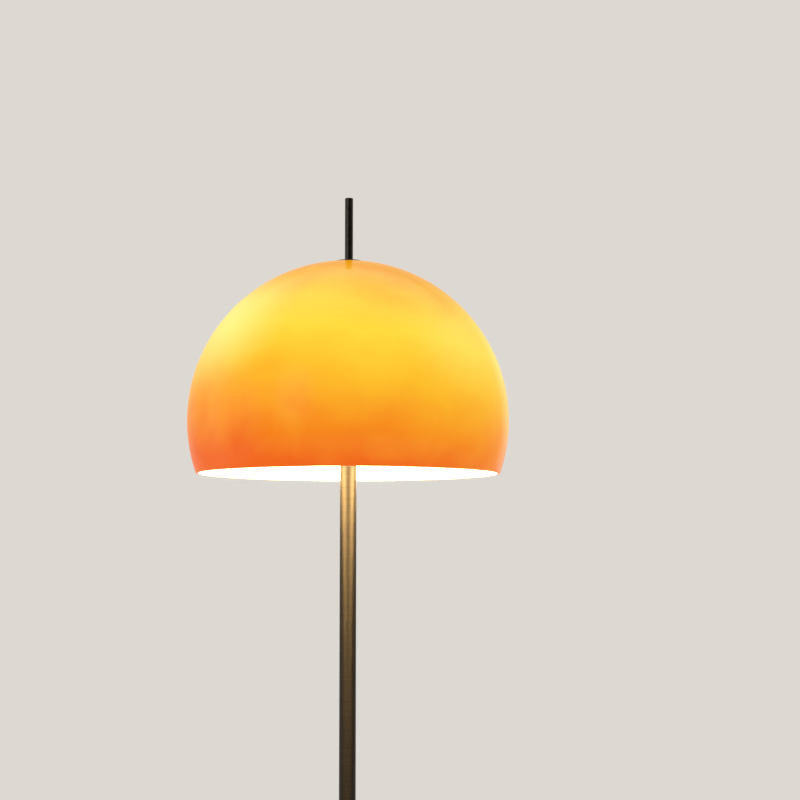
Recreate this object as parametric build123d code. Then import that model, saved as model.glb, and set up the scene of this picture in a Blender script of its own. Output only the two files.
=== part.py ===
from build123d import *
import os
from math import asin, cos, degrees, pi, radians, sin, sqrt, tan

# Floor lamp with an open ball shade on a straight steel pole.
# Millimetres. +Z is up, the origin is the centre of the base's underside, -Y is the front
# and the supply cord's inlet is at the back, towards +Y.

os.makedirs("parts", exist_ok=True)

# ---- Overall height and shade ------------------------------------------------------------
total_height = 1605.0  # floor to the tip of the finial rod
finial_height = 80.0  # crown of the shade to the tip of the finial rod
shade_radius = 195.0  # outside of the ball
shade_wall = 3.0
rim_drop = 65.0  # centre of the ball down to the open rim
rim_bevel = 0.6  # broken corners of the polished rim
crown_land_radius = 18.0  # flat seat moulded under the crown
crown_hole_clearance = 0.3  # round the tie rod

# ---- Crown fittings ----------------------------------------------------------------------
finial_radius = 5.0
finial_edge = 0.6
finial_thread_depth = 24.0
tie_rod_radius = 3.0
tie_rod_grip = 20.0  # length of the tie rod inside the finial
thread_clearance = 0.05  # radial, where a plain rod stands for a screw thread
nut_sides = 6
cap_washer_radius = 17.0
cap_washer_thickness = 1.5
cap_washer_flat_radius = 6.0
upper_gasket_radius = 15.0
upper_gasket_thickness = 0.5
lower_gasket_thickness = 4.5
lower_gasket_bore_radius = 8.0
lower_gasket_inset = 1.0  # its edge stays inside the crown's flat seat
carrier_radius = 36.0
carrier_flat_radius = 22.0
carrier_thickness = 2.0
carrier_slope = 16.0  # degrees, of its dished brim
crown_nut_flats = 10.0
crown_nut_thickness = 3.2
riser_radius = 5.0
riser_wall = 1.4

# ---- Three-light cluster -----------------------------------------------------------------
arm_count = 3
first_arm_angle = 90.0  # degrees from +X, the arm that points to the back
arm_elevation = 35.0  # degrees above the horizontal
cluster_drop = 10.0  # centre of the ball down to where the arm axes meet
hub_radius = 30.0
hub_wall = 3.0
hub_seat_reach = 26.0  # from the meeting point out to the arms' seats
hub_skirt_height = 17.0  # meeting point down to the hub's lower edge
hub_neck_radius = 9.0
hub_boss_height = 9.0
hub_lid_thickness = 3.0
hub_lid_spigot_height = 5.0
hub_lid_spigot_wall = 3.0
arm_radius = 5.0
arm_bore_radius = 3.5
arm_inner_length = 9.5  # behind the seat, for the wall and the lock nut
arm_flange_radius = 8.0
arm_flange_thickness = 2.5
arm_nut_flats = 14.0
arm_nut_thickness = 3.0
arm_nut_seat_radius = 9.0
arm_wire_width = 4.0
arm_wire_thickness = 2.0

# ---- Lampholders, measured outward along each arm ----------------------------------------
holder_gap = 1.0  # bare arm between flange and holder
holder_length = 51.0
holder_radius = 19.5
holder_neck_radius = 8.5
holder_neck_length = 8.0
holder_cone_length = 7.0
holder_wall = 1.8
holder_insert_thickness = 7.0
holder_insert_clearance = 0.1
holder_sleeve_wall = 0.5
holder_sleeve_clearance = 0.35  # round the bulb's cap
holder_sleeve_length = 22.0
holder_contact_length = 9.0
holder_contact_width = 5.0
holder_contact_height = 1.5
holder_contact_gap = 0.3  # from the contact to the tip of the bulb

# ---- Bulbs, measured outward from the tip of the centre contact --------------------------
bulb_globe_radius = 22.5
bulb_length = 78.0
bulb_split_drop = 8.5  # globe centre down to the joint with the housing
bulb_neck_radius = 14.0
bulb_neck_length = 4.0
bulb_cap_radius = 13.1
bulb_cap_length = 27.0
bulb_insulator_length = 5.0
bulb_tip_radius = 4.6

# ---- Pole --------------------------------------------------------------------------------
pole_radius = 10.0
pole_wall = 1.2
pole_joint_below_rim = 181.0
pole_edge = 0.3  # bevel that leaves a hairline at each joint
plug_clearance = 0.05
plug_bore_radius = 5.0
joiner_length = 60.0
top_plug_length = 22.0
top_plug_flange = 2.0
nipple_radius = 5.0
nipple_bore_radius = 3.6
nipple_nut_flats = 15.0
nipple_nut_thickness = 4.0
lead_radius = 3.0
lead_bend_radius = 12.0
lead_height = 8.5

# ---- Base --------------------------------------------------------------------------------
base_radius = 140.0
base_height = 30.0
base_shoulder = 12.0
cover_wall = 1.2
cover_floor_gap = 3.0
pad_inset = 6.0  # from the edge of the base
pad_thickness = 2.5
weight_clearance = 0.8
weight_plate_thickness = 10.0
weight_rim_width = 14.0
weight_recess_radius = 20.0
weight_hub_thickness = 6.8
foot_collar_radius = 17.0
foot_collar_height = 14.0
foot_collar_clearance = 0.1
foot_collar_easing = 6.0
foot_collar_bevel_turn = 45.0  # degrees round the easing to where its two bevels meet
foot_stud_radius = 8.0
foot_stud_hole_clearance = 0.1
foot_plug_length = 40.0
base_washer_radius = 16.0
base_washer_thickness = 1.5
base_nut_flats = 24.0
base_nut_thickness = 5.0
base_stud_overhang = 0.5

# ---- Cord inlet at the back --------------------------------------------------------------
inlet_height = 10.8
inlet_bore_radius = 3.5
bush_radius = 5.2
bush_flange_radius = 7.0
bush_flange_thickness = 2.0
bush_clearance = 0.1
bush_inner_overhang = 2.0
slot_clearance = 0.6
terminal_length = 24.0
terminal_width = 16.0
terminal_distance = 60.0  # from the pole's axis to the terminal block's inner end
hub_terminal_size = (16.0, 9.0, 8.0)
hub_terminal_clearance = 0.5
bevel = 0.5  # broken edges of turned and sawn pieces

# ---- Heights that follow from the sizes above --------------------------------------------
crown_z = total_height - finial_height
ball_z = crown_z - shade_radius
rim_z = ball_z - rim_drop
inner_radius = shade_radius - shade_wall
land_z = ball_z + sqrt(inner_radius**2 - crown_land_radius**2)
carrier_top_z = land_z - lower_gasket_thickness
carrier_bottom_z = carrier_top_z - carrier_thickness
washer_top_z = crown_z + upper_gasket_thickness + cap_washer_thickness
cluster_z = ball_z - cluster_drop
hub_bottom_z = cluster_z - hub_skirt_height
pole_top_z = hub_bottom_z - hub_lid_thickness - top_plug_flange
upper_joint_z = rim_z - pole_joint_below_rim
lower_joint_z = (base_height + upper_joint_z) / 2
pole_bore_radius = pole_radius - pole_wall
plug_radius = pole_bore_radius - plug_clearance
pad_radius = base_radius - pad_inset
weight_top_z = base_height - cover_wall
weight_web_z = weight_top_z - weight_hub_thickness
foot_stud_bottom_z = weight_web_z - base_washer_thickness - base_nut_thickness - base_stud_overhang
crown_hole_radius = tie_rod_radius + crown_hole_clearance
holder_start = hub_seat_reach + arm_flange_thickness + holder_gap
holder_floor = holder_start + holder_neck_length + holder_cone_length
holder_face = holder_floor + holder_insert_thickness
bulb_tip_at = holder_face + holder_contact_height + holder_contact_gap


def turned(*corners):
    """A piece turned about the Z axis, from the (radius, height) corners of its half section."""
    outline = Polyline(*[(radius, 0, height) for radius, height in corners], close=True)
    return revolve(make_face(outline), Axis.Z)


def tube(outer, inner, bottom, top):
    """A round tube about the Z axis; an inner radius of 0 makes it a rod."""
    return turned((inner, bottom), (outer, bottom), (outer, top), (inner, top))


def hex_nut(across_flats, bore, bottom, thickness):
    """A plain hexagon nut about the Z axis."""
    blank = RegularPolygon(across_flats / 2, nut_sides, major_radius=False) - Circle(bore)
    return Pos(0, 0, bottom) * extrude(blank, thickness)


def sphere_height(radius, distance):
    """Height above the ball's centre of a sphere of this radius, at this distance from the axis."""
    return sqrt(radius**2 - distance**2)


# ---- Shade and crown ---------------------------------------------------------------------


def make_shade():
    """Blow-moulded acrylic ball, cut off below its middle, with a flat seat under its crown."""
    with BuildPart() as shade:
        with BuildSketch(Plane.XZ) as section:
            with BuildLine():
                low_out = degrees(asin(-rim_drop / shade_radius))
                low_in = degrees(asin(-rim_drop / inner_radius))
                high_out = 90 - degrees(asin(crown_hole_radius / shade_radius))
                high_in = 90 - degrees(asin(crown_land_radius / inner_radius))
                outside = CenterArc((0, ball_z), shade_radius, low_out, high_out - low_out)
                inside = CenterArc((0, ball_z), inner_radius, low_in, high_in - low_in)
                land_edge = (crown_hole_radius, land_z)
                Line(outside @ 0, inside @ 0)
                Line(inside @ 1, land_edge)
                Line(land_edge, outside @ 1)
            make_face()
            rim_corners = section.vertices().sort_by(Axis.Y)[:2]  # Y is the sketch's own height
            chamfer(rim_corners, rim_bevel)
        revolve(axis=Axis.Z)
    return shade.part


def crown_shell(radius, bottom_radius, thickness, hole):
    """A dished disc that lies on a sphere of bottom_radius about the ball's centre."""
    with BuildPart() as shell:
        with BuildSketch(Plane.XZ):
            with BuildLine():
                top_radius = bottom_radius + thickness
                inner_low = (hole, ball_z + sphere_height(bottom_radius, hole))
                outer_low = (radius, ball_z + sphere_height(bottom_radius, radius))
                outer_high = (radius, ball_z + sphere_height(top_radius, radius))
                inner_high = (hole, ball_z + sphere_height(top_radius, hole))
                RadiusArc(inner_low, outer_low, bottom_radius)
                Line(outer_low, outer_high)
                RadiusArc(inner_high, outer_high, top_radius)
                Line(inner_high, inner_low)
            make_face()
        revolve(axis=Axis.Z)
    return shell.part


def make_upper_gasket():
    """Thin rubber ring between the cap washer and the shade."""
    return crown_shell(
        upper_gasket_radius, shade_radius, upper_gasket_thickness, crown_hole_radius
    )


def make_cap_washer():
    """Dished metal washer on the crown, with a flat where the finial rod stands on it."""
    seat_radius = shade_radius + upper_gasket_thickness
    dished = crown_shell(cap_washer_radius, seat_radius, cap_washer_thickness, crown_hole_radius)
    flat_z = ball_z + sphere_height(seat_radius + cap_washer_thickness, cap_washer_flat_radius)
    land = tube(cap_washer_flat_radius, crown_hole_radius, flat_z - bevel, washer_top_z)
    return dished + land


def make_finial_rod():
    """Polished rod that screws down on the tie rod and holds the shade."""
    thread = tie_rod_radius + thread_clearance
    thread_top = washer_top_z + finial_thread_depth
    return turned(
        (thread, washer_top_z),
        (finial_radius, washer_top_z),
        (finial_radius, total_height - finial_edge),
        (finial_radius - finial_edge, total_height),
        (0, total_height),
        (0, thread_top),
        (thread, thread_top),
    )


def make_lower_gasket():
    """Thick rubber ring on the carrier that the shade's crown rests on."""
    outer = crown_land_radius - lower_gasket_inset
    return tube(outer, lower_gasket_bore_radius, carrier_top_z, land_z)


def make_carrier_disc():
    """Spun steel disc under the crown, with a dished brim that follows the shade."""
    drop = (carrier_radius - carrier_flat_radius) * tan(radians(carrier_slope))
    hole = tie_rod_radius + thread_clearance
    return turned(
        (hole, carrier_bottom_z),
        (carrier_flat_radius, carrier_bottom_z),
        (carrier_radius, carrier_bottom_z - drop),
        (carrier_radius, carrier_top_z - drop),
        (carrier_flat_radius, carrier_top_z),
        (hole, carrier_top_z),
    )


def make_crown_nut():
    """Thin nut on the tie rod that clamps the carrier, inside the lower gasket's bore."""
    return hex_nut(
        crown_nut_flats, tie_rod_radius + thread_clearance, carrier_top_z, crown_nut_thickness
    )


# ---- Three-light cluster -----------------------------------------------------------------


def cone_point(reach, height):
    """Radius, at this height above the arms' meeting point, of the cone square to the arms."""
    lean = radians(arm_elevation)
    return (reach - height * sin(lean)) / cos(lean)


def cone_height(reach, radius):
    """Height above the arms' meeting point where that cone has this radius."""
    lean = radians(arm_elevation)
    return (reach - radius * cos(lean)) / sin(lean)


def arm_frames():
    """Frames whose Z axis runs out along each arm, from the point where the arms meet."""
    turns = [first_arm_angle + 360 / arm_count * index for index in range(arm_count)]
    return [
        Pos(0, 0, cluster_z) * Rot(0, 0, turn) * Rot(0, 90 - arm_elevation, 0) for turn in turns
    ]


hub_top_z = cluster_z + cone_height(hub_seat_reach, hub_neck_radius) + hub_wall
inner_reach = hub_seat_reach - hub_wall


def make_hub_shell():
    """Die-cast cluster body: a skirt, a cone square to the arms, and a boss for the tie rod."""
    shoulder = cone_height(hub_seat_reach, hub_radius)
    inner_shoulder = cone_height(inner_reach, hub_radius - hub_wall)
    boss_bottom = hub_top_z - hub_boss_height
    boss_edge = cone_point(inner_reach, boss_bottom - cluster_z)
    neck = cone_height(hub_seat_reach, hub_neck_radius)
    thread = tie_rod_radius + thread_clearance
    body = turned(
        (hub_radius - hub_wall, hub_bottom_z),
        (hub_radius, hub_bottom_z),
        (hub_radius, cluster_z + shoulder),
        (hub_neck_radius, cluster_z + neck),
        (hub_neck_radius, hub_top_z),
        (thread, hub_top_z),
        (thread, boss_bottom),
        (boss_edge, boss_bottom),
        (hub_radius - hub_wall, cluster_z + inner_shoulder),
    )
    for frame in arm_frames():
        seat = hub_seat_reach - bevel
        spot_face = tube(arm_flange_radius + bevel, 0, seat, seat + hub_radius)
        hole = tube(arm_radius + thread_clearance, 0, inner_reach - bevel, seat)
        nut_seat = tube(arm_nut_seat_radius, 0, inner_reach - hub_boss_height, inner_reach - bevel)
        body -= frame * (spot_face + hole + nut_seat)
    return body


def make_hub_lid():
    """Round plate that closes the hub from below, with a spigot that fits inside the skirt."""
    spigot = hub_radius - hub_wall - plug_clearance
    top = hub_bottom_z + hub_lid_spigot_height
    bottom = hub_bottom_z - hub_lid_thickness
    hole = nipple_radius + thread_clearance
    return turned(
        (hole, bottom),
        (hub_radius, bottom),
        (hub_radius, hub_bottom_z),
        (spigot, hub_bottom_z),
        (spigot, top),
        (spigot - hub_lid_spigot_wall, top),
        (spigot - hub_lid_spigot_wall, hub_bottom_z),
        (hole, hub_bottom_z),
    )


def make_hub_nipple():
    """Hollow threaded nipple that ties the hub's lid to the plug in the pole."""
    top = hub_bottom_z + nipple_nut_thickness + bevel
    return tube(nipple_radius, nipple_bore_radius, pole_top_z - top_plug_length, top)


def make_nipple_nut():
    """Nut inside the hub that pulls the lid down on the pole."""
    return hex_nut(
        nipple_nut_flats, nipple_radius + thread_clearance, hub_bottom_z, nipple_nut_thickness
    )


def make_hub_terminal():
    """Terminal block inside the hub, where the lead divides to the three lampholders."""
    width, depth, height = hub_terminal_size
    nut_corner = nipple_nut_flats / 2 / cos(pi / nut_sides)
    near = nut_corner + hub_terminal_clearance
    return Pos(0, near + depth / 2, hub_bottom_z + height / 2) * Box(width, depth, height)


def make_tie_rod():
    """Long threaded rod from the hub's boss up through the crown into the finial."""
    return tube(tie_rod_radius, 0, hub_top_z - hub_boss_height, washer_top_z + tie_rod_grip)


def make_riser_tube():
    """Distance tube over the tie rod, between the hub and the carrier disc."""
    return tube(riser_radius, riser_radius - riser_wall, hub_top_z, carrier_bottom_z)


def make_arm_tube():
    """Short hollow arm with a flange that seats on the hub, threaded at both ends."""
    inner_end = hub_seat_reach - arm_inner_length
    outer_end = holder_start + holder_neck_length
    seat = hub_seat_reach - bevel
    flange_top = hub_seat_reach + arm_flange_thickness
    return turned(
        (arm_bore_radius, inner_end),
        (arm_radius, inner_end),
        (arm_radius, seat),
        (arm_flange_radius, seat),
        (arm_flange_radius, flange_top),
        (arm_radius, flange_top),
        (arm_radius, outer_end),
        (arm_bore_radius, outer_end),
    )


def make_arm_nut():
    """Lock nut on the arm, inside the hub."""
    bottom = inner_reach - bevel - arm_nut_thickness
    return hex_nut(arm_nut_flats, arm_radius + thread_clearance, bottom, arm_nut_thickness)


def make_arm_wire():
    """Flat twin wire in the arm's bore, from the hub to the lampholder's insert."""
    start = hub_seat_reach - arm_inner_length
    length = holder_floor - start
    return Pos(0, 0, start + length / 2) * Box(arm_wire_width, arm_wire_thickness, length)


# ---- Lampholders and bulbs ---------------------------------------------------------------


def make_holder_shell():
    """Moulded cup of the lampholder, with a neck that screws on the arm."""
    mouth = holder_start + holder_length
    neck_top = holder_start + holder_neck_length
    inner = holder_radius - holder_wall
    bore = arm_radius + thread_clearance
    return turned(
        (bore, holder_start),
        (holder_neck_radius, holder_start),
        (holder_neck_radius, neck_top),
        (holder_radius, holder_floor),
        (holder_radius, mouth),
        (inner, mouth),
        (inner, holder_floor),
        (bore, holder_floor),
    )


def make_holder_insert():
    """Porcelain disc in the floor of the cup, which carries the sleeve and the contact."""
    outer = holder_radius - holder_wall - holder_insert_clearance
    return tube(outer, 0, holder_floor, holder_face)


def make_holder_sleeve():
    """Pressed metal screw sleeve that takes the bulb's cap."""
    inner = bulb_cap_radius + holder_sleeve_clearance
    mouth = holder_face + holder_sleeve_length
    return tube(inner + holder_sleeve_wall, inner, holder_face, mouth)


def make_holder_contact():
    """Flat sprung tongue on the insert, just below the bulb's tip."""
    tongue = Box(holder_contact_length, holder_contact_width, holder_contact_height)
    return Pos(0, 0, holder_face + holder_contact_height / 2) * tongue


def make_bulb_cap():
    """Screw cap of the bulb with its insulator and centre contact."""
    shell_start = bulb_tip_at + bulb_insulator_length
    return turned(
        (0, bulb_tip_at),
        (bulb_tip_radius, bulb_tip_at),
        (bulb_cap_radius, shell_start),
        (bulb_cap_radius, bulb_tip_at + bulb_cap_length),
        (0, bulb_tip_at + bulb_cap_length),
    )


globe_at = bulb_tip_at + bulb_length - bulb_globe_radius
split_at = globe_at - bulb_split_drop
split_radius = sphere_height(bulb_globe_radius, bulb_split_drop)


def make_bulb_housing():
    """White moulded housing between cap and globe, flared along the globe's tangent."""
    neck_start = bulb_tip_at + bulb_cap_length
    neck_top = neck_start + bulb_neck_length
    flare = bulb_split_drop / split_radius
    flare_radius = split_radius - flare * (split_at - neck_top)
    return turned(
        (0, neck_start),
        (bulb_neck_radius, neck_start),
        (flare_radius, neck_top),
        (split_radius, split_at),
        (0, split_at),
    )


def make_bulb_globe():
    """Opal globe of the bulb, closed where it meets the housing."""
    joint = -degrees(asin(bulb_split_drop / bulb_globe_radius))
    return Pos(0, 0, globe_at) * Sphere(bulb_globe_radius, arc_size1=joint, align=None)


# ---- Pole --------------------------------------------------------------------------------


def make_pole_tube(bottom, top, bottom_edge, top_edge):
    """One length of brushed steel tube, with an edge of 0 where its end is left square."""
    corners = [(pole_bore_radius, bottom), (pole_radius - bottom_edge, bottom)]
    if bottom_edge:
        corners.append((pole_radius, bottom + bottom_edge))
    if top_edge:
        corners.append((pole_radius, top - top_edge))
    corners += [(pole_radius - top_edge, top), (pole_bore_radius, top)]
    return turned(*corners)


def make_pole_joiner(joint_z):
    """Hollow threaded joiner, half in each of two pole tubes."""
    half = joiner_length / 2
    return tube(plug_radius, plug_bore_radius, joint_z - half, joint_z + half)


def make_pole_top_plug():
    """Flanged plug in the top of the pole that the hub's nipple screws into."""
    bore = nipple_radius + thread_clearance
    bottom = pole_top_z - top_plug_length
    return turned(
        (bore, bottom),
        (plug_radius, bottom),
        (plug_radius, pole_top_z),
        (pole_radius, pole_top_z),
        (pole_radius, pole_top_z + top_plug_flange),
        (bore, pole_top_z + top_plug_flange),
    )


def make_foot_stud():
    """Plug in the pole's foot with a hollow threaded stud that goes down through the base."""
    return turned(
        (plug_bore_radius, foot_stud_bottom_z),
        (foot_stud_radius, foot_stud_bottom_z),
        (foot_stud_radius, base_height),
        (plug_radius, base_height),
        (plug_radius, base_height + foot_plug_length),
        (plug_bore_radius, base_height + foot_plug_length),
    )


def make_internal_lead():
    """Sheathed lead inside the base and pole, from the base terminal up into the hub."""
    corner = (0, 0, lead_height)
    start = (0, terminal_distance, lead_height)
    end = (0, 0, hub_bottom_z + nipple_nut_thickness + bevel)
    route = FilletPolyline(start, corner, end, radius=lead_bend_radius)
    section = Plane(origin=start, z_dir=(0, -1, 0)) * Circle(lead_radius)
    return sweep(section, path=route)


# ---- Base --------------------------------------------------------------------------------


def make_base_pad():
    """Round non-slip foam pad glued under the base."""
    return tube(pad_radius, 0, 0, pad_thickness)


def make_base_weight():
    """Cast-iron weight, hollow underneath, with a deep rim slotted for the cord at the back."""
    outer = base_radius - cover_wall - weight_clearance
    plate_z = weight_top_z - weight_plate_thickness
    hole = foot_stud_radius + foot_stud_hole_clearance
    body = turned(
        (hole, weight_web_z),
        (weight_recess_radius, weight_web_z),
        (weight_recess_radius, plate_z),
        (outer - weight_rim_width, plate_z),
        (outer - weight_rim_width, pad_thickness),
        (outer, pad_thickness),
        (outer, weight_top_z - base_shoulder),
        (outer - base_shoulder, weight_top_z),
        (hole, weight_top_z),
    )
    slot_half = bush_radius + slot_clearance
    slot_top = inlet_height + slot_half
    slot = Box(2 * slot_half, 2 * (weight_rim_width + bush_inner_overhang), slot_top)
    return body - Pos(0, outer, slot_top / 2) * slot


def make_base_cover():
    """Spun steel cover with a rounded shoulder, holed for the foot stud and the cord bush."""
    with BuildPart() as cover:
        with BuildSketch(Plane.XZ):
            with BuildLine():
                hole = foot_stud_radius + foot_stud_hole_clearance
                inner = base_radius - cover_wall
                top_in = base_height - cover_wall
                wide = base_radius - base_shoulder
                low = base_height - base_shoulder
                Line((hole, base_height), (wide, base_height))
                RadiusArc((wide, base_height), (base_radius, low), base_shoulder)
                Line((base_radius, low), (base_radius, cover_floor_gap))
                Line((base_radius, cover_floor_gap), (inner, cover_floor_gap))
                Line((inner, cover_floor_gap), (inner, low))
                RadiusArc((wide, top_in), (inner, low), base_shoulder - cover_wall)
                Line((wide, top_in), (hole, top_in))
                Line((hole, top_in), (hole, base_height))
            make_face()
        revolve(axis=Axis.Z)
    bush_hole = Rot(-90, 0, 0) * Cylinder(bush_radius + bush_clearance, 2 * base_shoulder)
    return cover.part - Pos(0, base_radius, inlet_height) * bush_hole


def make_foot_collar():
    """Turned collar round the foot of the pole, its upper shoulder eased by two bevels."""
    bore = pole_radius + foot_collar_clearance
    top = base_height + foot_collar_height
    turn = radians(foot_collar_bevel_turn)
    inward = foot_collar_easing * (1 - cos(turn))
    downward = foot_collar_easing * (1 - sin(turn))
    return turned(
        (bore, base_height),
        (foot_collar_radius, base_height),
        (foot_collar_radius, top - foot_collar_easing),
        (foot_collar_radius - inward, top - downward),
        (foot_collar_radius - foot_collar_easing, top),
        (bore, top),
    )


def make_base_washer():
    """Steel washer under the weight."""
    hole = foot_stud_radius + foot_stud_hole_clearance
    return tube(base_washer_radius, hole, weight_web_z - base_washer_thickness, weight_web_z)


def make_base_nut():
    """Nut that clamps the base together on the foot stud."""
    bottom = weight_web_z - base_washer_thickness - base_nut_thickness
    return hex_nut(base_nut_flats, foot_stud_radius + thread_clearance, bottom, base_nut_thickness)


def make_cord_bush():
    """Flanged plastic bush that lines the cord's hole through cover and weight."""
    rim_inside = base_radius - cover_wall - weight_clearance - weight_rim_width
    length = base_radius - rim_inside + bush_inner_overhang
    body = turned(
        (inlet_bore_radius, -length),
        (bush_radius, -length),
        (bush_radius, 0),
        (bush_flange_radius, 0),
        (bush_flange_radius, bush_flange_thickness),
        (inlet_bore_radius, bush_flange_thickness),
    )
    return Pos(0, base_radius, inlet_height) * Rot(-90, 0, 0) * body


def make_base_terminal():
    """Terminal block under the weight's plate, where the supply cord meets the inner lead."""
    plate_z = weight_top_z - weight_plate_thickness
    height = plate_z - lead_height + lead_radius
    centre_y = terminal_distance + terminal_length / 2
    block = Box(terminal_width, terminal_length, height)
    return Pos(0, centre_y, plate_z - height / 2) * block


# ---- Write one file for each piece -------------------------------------------------------

pieces = {
    "shade": make_shade(),
    "upper_gasket": make_upper_gasket(),
    "cap_washer": make_cap_washer(),
    "finial_rod": make_finial_rod(),
    "lower_gasket": make_lower_gasket(),
    "carrier_disc": make_carrier_disc(),
    "crown_nut": make_crown_nut(),
    "tie_rod": make_tie_rod(),
    "riser_tube": make_riser_tube(),
    "hub_shell": make_hub_shell(),
    "hub_lid": make_hub_lid(),
    "hub_nipple": make_hub_nipple(),
    "nipple_nut": make_nipple_nut(),
    "hub_terminal": make_hub_terminal(),
    "pole_top_plug": make_pole_top_plug(),
    "pole_upper": make_pole_tube(upper_joint_z, pole_top_z, pole_edge, 0),
    "pole_middle": make_pole_tube(lower_joint_z, upper_joint_z, pole_edge, pole_edge),
    "pole_lower": make_pole_tube(base_height, lower_joint_z, 0, pole_edge),
    "joiner_upper": make_pole_joiner(upper_joint_z),
    "joiner_lower": make_pole_joiner(lower_joint_z),
    "foot_stud": make_foot_stud(),
    "internal_lead": make_internal_lead(),
    "foot_collar": make_foot_collar(),
    "base_cover": make_base_cover(),
    "base_weight": make_base_weight(),
    "base_pad": make_base_pad(),
    "base_washer": make_base_washer(),
    "base_nut": make_base_nut(),
    "base_terminal": make_base_terminal(),
    "cord_bush": make_cord_bush(),
    "arm_nuts": Compound([frame * make_arm_nut() for frame in arm_frames()]),
    "arm_wires": Compound([frame * make_arm_wire() for frame in arm_frames()]),
}

for number, frame in enumerate(arm_frames(), 1):
    pieces[f"arm_tube_{number}"] = frame * make_arm_tube()
    pieces[f"holder_shell_{number}"] = frame * make_holder_shell()
    pieces[f"holder_insert_{number}"] = frame * make_holder_insert()
    pieces[f"holder_sleeve_{number}"] = frame * make_holder_sleeve()
    pieces[f"holder_contact_{number}"] = frame * make_holder_contact()
    pieces[f"bulb_cap_{number}"] = frame * make_bulb_cap()
    pieces[f"bulb_housing_{number}"] = frame * make_bulb_housing()
    pieces[f"bulb_globe_{number}"] = frame * make_bulb_globe()

for name, piece in pieces.items():
    export_step(piece, f"parts/{name}.step")

print(f"rim at {rim_z:.1f}, ball centre at {ball_z:.1f}, joints at", lower_joint_z, upper_joint_z)
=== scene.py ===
from math import asin, atan2, cos, degrees, pi, radians, sin, sqrt, tan

import bmesh
import bpy
from mathutils import Matrix, Vector


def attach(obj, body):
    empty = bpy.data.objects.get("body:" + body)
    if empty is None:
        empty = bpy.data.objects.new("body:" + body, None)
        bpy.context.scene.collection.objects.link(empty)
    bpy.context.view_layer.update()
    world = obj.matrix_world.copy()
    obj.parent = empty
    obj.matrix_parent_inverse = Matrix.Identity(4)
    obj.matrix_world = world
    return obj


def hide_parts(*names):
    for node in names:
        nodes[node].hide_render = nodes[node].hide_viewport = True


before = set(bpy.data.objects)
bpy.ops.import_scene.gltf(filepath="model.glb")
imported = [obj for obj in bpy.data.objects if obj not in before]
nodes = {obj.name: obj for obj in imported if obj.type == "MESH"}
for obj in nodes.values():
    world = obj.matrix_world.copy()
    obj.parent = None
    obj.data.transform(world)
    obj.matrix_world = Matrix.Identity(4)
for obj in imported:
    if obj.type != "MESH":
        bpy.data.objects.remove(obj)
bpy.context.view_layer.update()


# ---- Non-slip pad ----
# A disc of 2.5 mm closed-cell EVA foam, die-cut from sheet and glued under the base.
# Foam skin is dead matt and pitted where the cutter and the sheet's cells open at the face.

mm = 0.001  # sizes are in millimetres, apart from the studio's, at the end


def linear(code):
    """A colour written as sRGB hex, as the linear RGBA that a socket takes."""
    parts = [int(code[start : start + 2], 16) / 255 for start in (1, 3, 5)]
    return [c / 12.92 if c <= 0.04045 else ((c + 0.055) / 1.055) ** 2.4 for c in parts] + [1.0]


def add_node(tree, kind, inputs=None, stops=(), **settings):
    """Adds one node: its own settings, its inputs as values or links, and a ramp's stops."""
    made = tree.nodes.new(kind)
    for name, value in settings.items():
        setattr(made, name, value)
    for key, value in (inputs or {}).items():
        if isinstance(value, bpy.types.NodeSocket):
            tree.links.new(value, made.inputs[key])
        else:
            made.inputs[key].default_value = value
    for index, (position, code) in enumerate(stops):
        ramp = made.color_ramp.elements
        stop = ramp[index] if index < len(ramp) else ramp.new(position)
        stop.position = position
        stop.color = linear(code)
    return made


def new_finish(name, **numbers):
    """A material with one Principled shader, and the piece's own coordinates for its patterns.

    Its plain numbers are set on the shader itself.
    """
    material = bpy.data.materials.new(name)
    material.use_nodes = True
    tree = material.node_tree
    tree.nodes.clear()
    shader = add_node(tree, "ShaderNodeBsdfPrincipled")
    add_node(tree, "ShaderNodeOutputMaterial", {"Surface": shader.outputs["BSDF"]})
    for key, value in numbers.items():
        shader.inputs[key.replace("_", " ")].default_value = value
    place = add_node(tree, "ShaderNodeTexCoord").outputs["Object"]
    return material, tree, shader, place


def lay_skin(shader, tones=None, roughness=None, dents=None, lit=False):
    """Lays patterns on a surface, each named first in its group.

    The tones are stops of a ramp, which a lit surface gives off as well. The roughness runs
    from one value to another. The dents have a strength and a depth in millimetres.
    """
    tree = shader.id_data
    if tones:
        pattern, *stops = tones
        ramp = add_node(tree, "ShaderNodeValToRGB", {"Fac": pattern.outputs[0]}, stops)
        for socket in ["Base Color", "Emission Color"][: 2 if lit else 1]:
            tree.links.new(ramp.outputs["Color"], shader.inputs[socket])
    if roughness:
        pattern, low, high = roughness
        span = {"Value": pattern.outputs[0], "To Min": low, "To Max": high}
        spread = add_node(tree, "ShaderNodeMapRange", span)
        tree.links.new(spread.outputs["Result"], shader.inputs["Roughness"])
    if dents:
        pattern, strength, depth = dents
        form = {"Height": pattern.outputs[0], "Strength": strength, "Distance": depth * mm}
        relief = add_node(tree, "ShaderNodeBump", form)
        tree.links.new(relief.outputs["Normal"], shader.inputs["Normal"])


def dress(finish, *names):
    """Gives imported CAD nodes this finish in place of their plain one."""
    for name in names:
        nodes[name].data.materials.clear()
        nodes[name].data.materials.append(finish)


eva_foam, tree, shader, place = new_finish("eva_foam_die_cut", Roughness=0.92, IOR=1.49)
cell_size = 1.4 * mm  # real cells are 0.3 mm, drawn coarser so that they show
cells = add_node(
    tree, "ShaderNodeTexVoronoi", {"Vector": place, "Scale": 1 / cell_size}, feature="F1"
)
lay_skin(shader, (cells, (0.0, "#101011"), (0.8, "#222324")), dents=(cells, 0.6, 0.12))
dress(eva_foam, "base_pad")


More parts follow.
